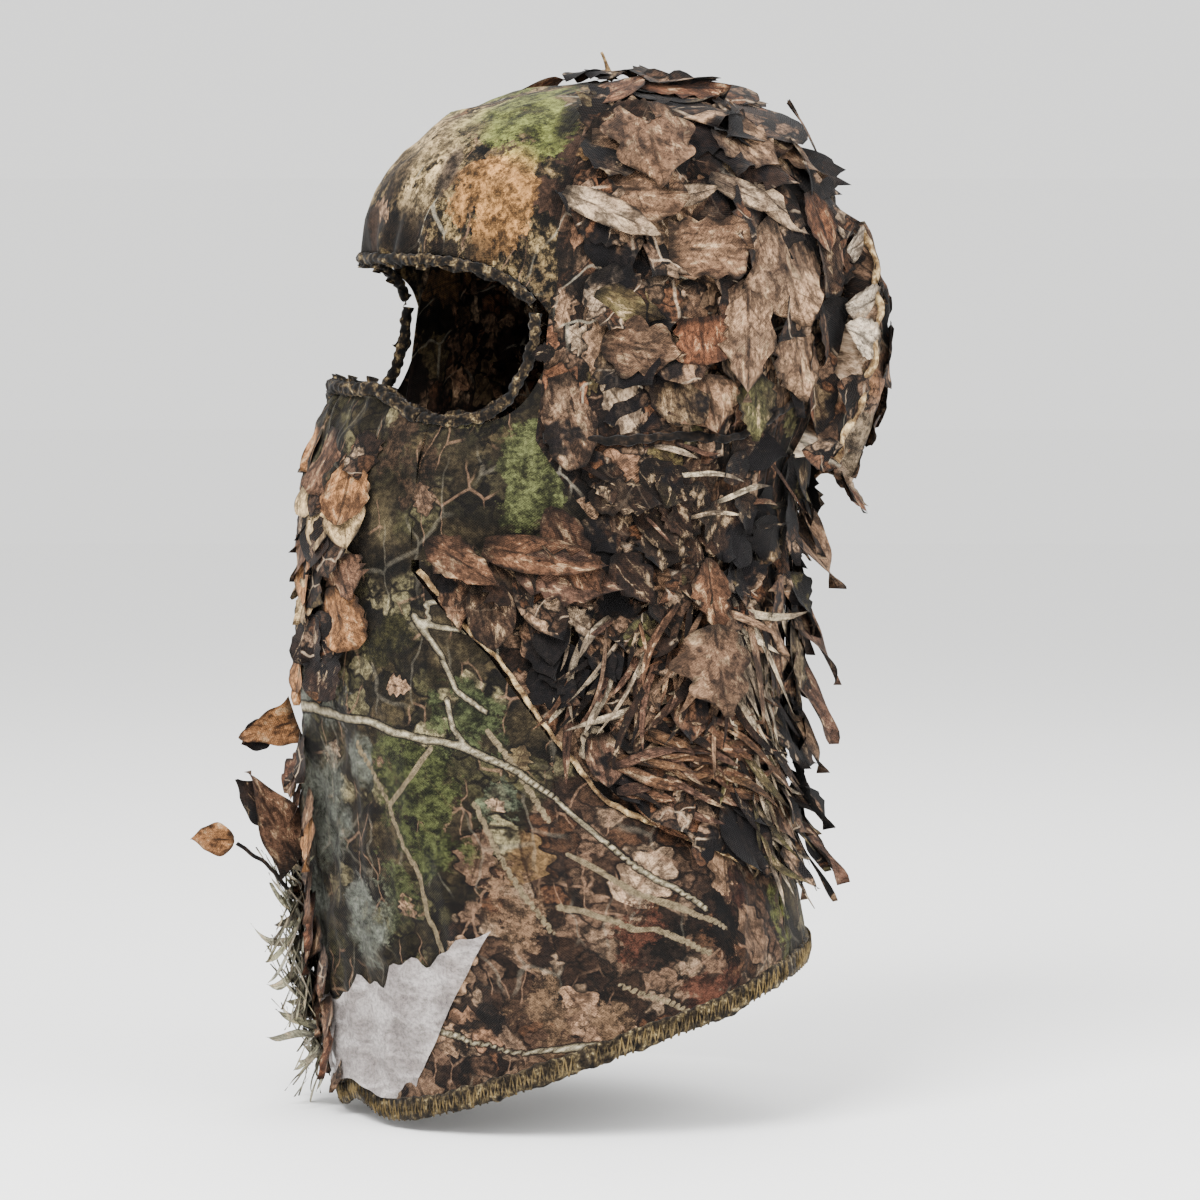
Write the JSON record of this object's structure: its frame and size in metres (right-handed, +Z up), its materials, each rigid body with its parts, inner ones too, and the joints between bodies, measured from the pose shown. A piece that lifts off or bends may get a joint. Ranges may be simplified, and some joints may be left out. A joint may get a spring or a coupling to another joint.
{
  "type": "camouflage hood with face veil",
  "caption": "Leafy camouflage hood with a gathered eye opening, a pull-down mesh face veil, a leafy cape and a hemmed skirt.",
  "frame": {"origin": "inside of the crown, where the head carries the hood", "axes": "+Z up, -Y out of the face, +X to the wearer's left"},
  "size_m": [0.2302, 0.3049, 0.45],
  "materials": {
    "brow_cloth": "matt printed knit",
    "crown_cloth": "matt printed mesh",
    "crown_leaf": "leaf-cut printed cloth",
    "veil_mesh": "sheer printed mesh",
    "cape_cloth": "matt printed mesh",
    "cape_leaf": "leaf-cut printed cloth",
    "skirt_mesh": "printed mesh",
    "elastic_edge": "gathered elastic edge",
    "hem_binding": "overlocked hem",
    "front_leaf": "leaf-cut printed cloth",
    "grass_strip": "cut cloth strips"
  },
  "bodies": {
    "hood": {"brow_panel": "brow_cloth", "crown_panel_left": "crown_cloth", "crown_panel_right": "crown_cloth", "crown_panel_back": "crown_cloth", "cap_edge_binding_left": "elastic_edge", "cap_edge_binding_right": "elastic_edge", "crown_tuft": "crown_leaf", "crown_leaf_row_upper_left": "crown_leaf", "crown_leaf_row_upper_right": "crown_leaf", "crown_leaf_row_middle_left": "crown_leaf", "crown_leaf_row_middle_right": "crown_leaf", "crown_leaf_row_lower_left": "crown_leaf", "crown_leaf_row_lower_right": "crown_leaf", "crown_leaf_tip": "elastic_edge", "face_veil": "veil_mesh", "chin_fold": "veil_mesh", "cheek_panel_left": "veil_mesh", "cheek_panel_right": "veil_mesh", "brow_elastic": "elastic_edge", "cheek_elastic_left": "elastic_edge", "cheek_elastic_right": "elastic_edge", "neck_panel_left": "cape_cloth", "neck_panel_right": "cape_cloth", "nape_panel": "cape_cloth", "cape_panel_left": "cape_cloth", "cape_panel_right": "cape_cloth", "cape_panel_back": "cape_cloth", "jaw_leaf_row_left": "cape_leaf", "jaw_leaf_row_right": "cape_leaf", "neck_leaf_row_left": "cape_leaf", "neck_leaf_row_right": "cape_leaf", "nape_leaf_row": "cape_leaf", "cape_leaf_row_upper_left": "cape_leaf", "cape_leaf_row_upper_right": "cape_leaf", "cape_leaf_row_lower_left": "cape_leaf", "cape_leaf_row_lower_right": "cape_leaf", "cape_back_row_upper": "cape_leaf", "cape_back_row_middle": "cape_leaf", "cape_back_row_lower": "cape_leaf", "skirt_panel_left": "skirt_mesh", "skirt_panel_right": "skirt_mesh", "skirt_panel_back": "skirt_mesh", "hem_binding_round": "hem_binding", "front_strip_upper": "front_leaf"},
    "nose_band": {"nose_elastic": "elastic_edge"},
    "bib": {"bib_panel": "veil_mesh", "hem_binding_front": "hem_binding", "front_strip_lower": "front_leaf", "front_leaf_upper": "front_leaf", "front_leaf_lower": "front_leaf", "front_stem": "elastic_edge", "front_grass": "grass_strip"},
    "front_dangle": {"dangling_leaf": "front_leaf"},
    "ruffle": {"back_ruffle": "cape_leaf", "ruffle_point": "cape_leaf"},
    "crown_leaf_l": {"crown_flap_left": "crown_leaf"},
    "crown_leaf_r": {"crown_flap_right": "crown_leaf"},
    "cape_leaf_l": {"cape_flap_left": "cape_leaf"},
    "cape_leaf_r": {"cape_flap_right": "cape_leaf"}
  },
  "joints": [
    {"name": "veil_pull_down", "type": "slide", "parent": "hood", "child": "nose_band", "axis": [0, 0, -1], "range_m": [0, 0.065], "deforming": ["face_veil", "front_strip_upper"]},
    {"name": "bib_lift", "type": "hinge", "parent": "hood", "child": "bib", "pos_m": [0, -0.092, -0.235], "axis": [-1, 0, 0], "range_deg": [0, 60]},
    {"name": "dangling_leaf_lift", "type": "hinge", "parent": "bib", "child": "front_dangle", "pos_m": [-0.031, -0.162, -0.32], "axis": [-1, 0, 0], "range_deg": [0, 50]},
    {"name": "ruffle_lift", "type": "hinge", "parent": "hood", "child": "ruffle", "pos_m": [0, 0.088, -0.064], "axis": [1, 0, 0], "range_deg": [0, 40]},
    {"name": "crown_flap_lift_left", "type": "hinge", "parent": "hood", "child": "crown_leaf_l", "pos_m": [0.05742, -0.01298, -0.00785], "axis": [-0.1307, -0.9914, 0], "range_deg": [0, 60]},
    {"name": "crown_flap_lift_right", "type": "hinge", "parent": "hood", "child": "crown_leaf_r", "pos_m": [-0.05742, -0.01298, -0.00785], "axis": [-0.1307, 0.9914, 0], "range_deg": [0, 60]},
    {"name": "cape_flap_lift_left", "type": "hinge", "parent": "hood", "child": "cape_leaf_l", "pos_m": [0.09984, 0.00314, -0.22521], "axis": [0.0409, -0.9992, 0], "range_deg": [0, 60]},
    {"name": "cape_flap_lift_right", "type": "hinge", "parent": "hood", "child": "cape_leaf_r", "pos_m": [-0.09984, 0.00314, -0.22521], "axis": [0.0409, 0.9992, 0], "range_deg": [0, 60]}
  ]
}
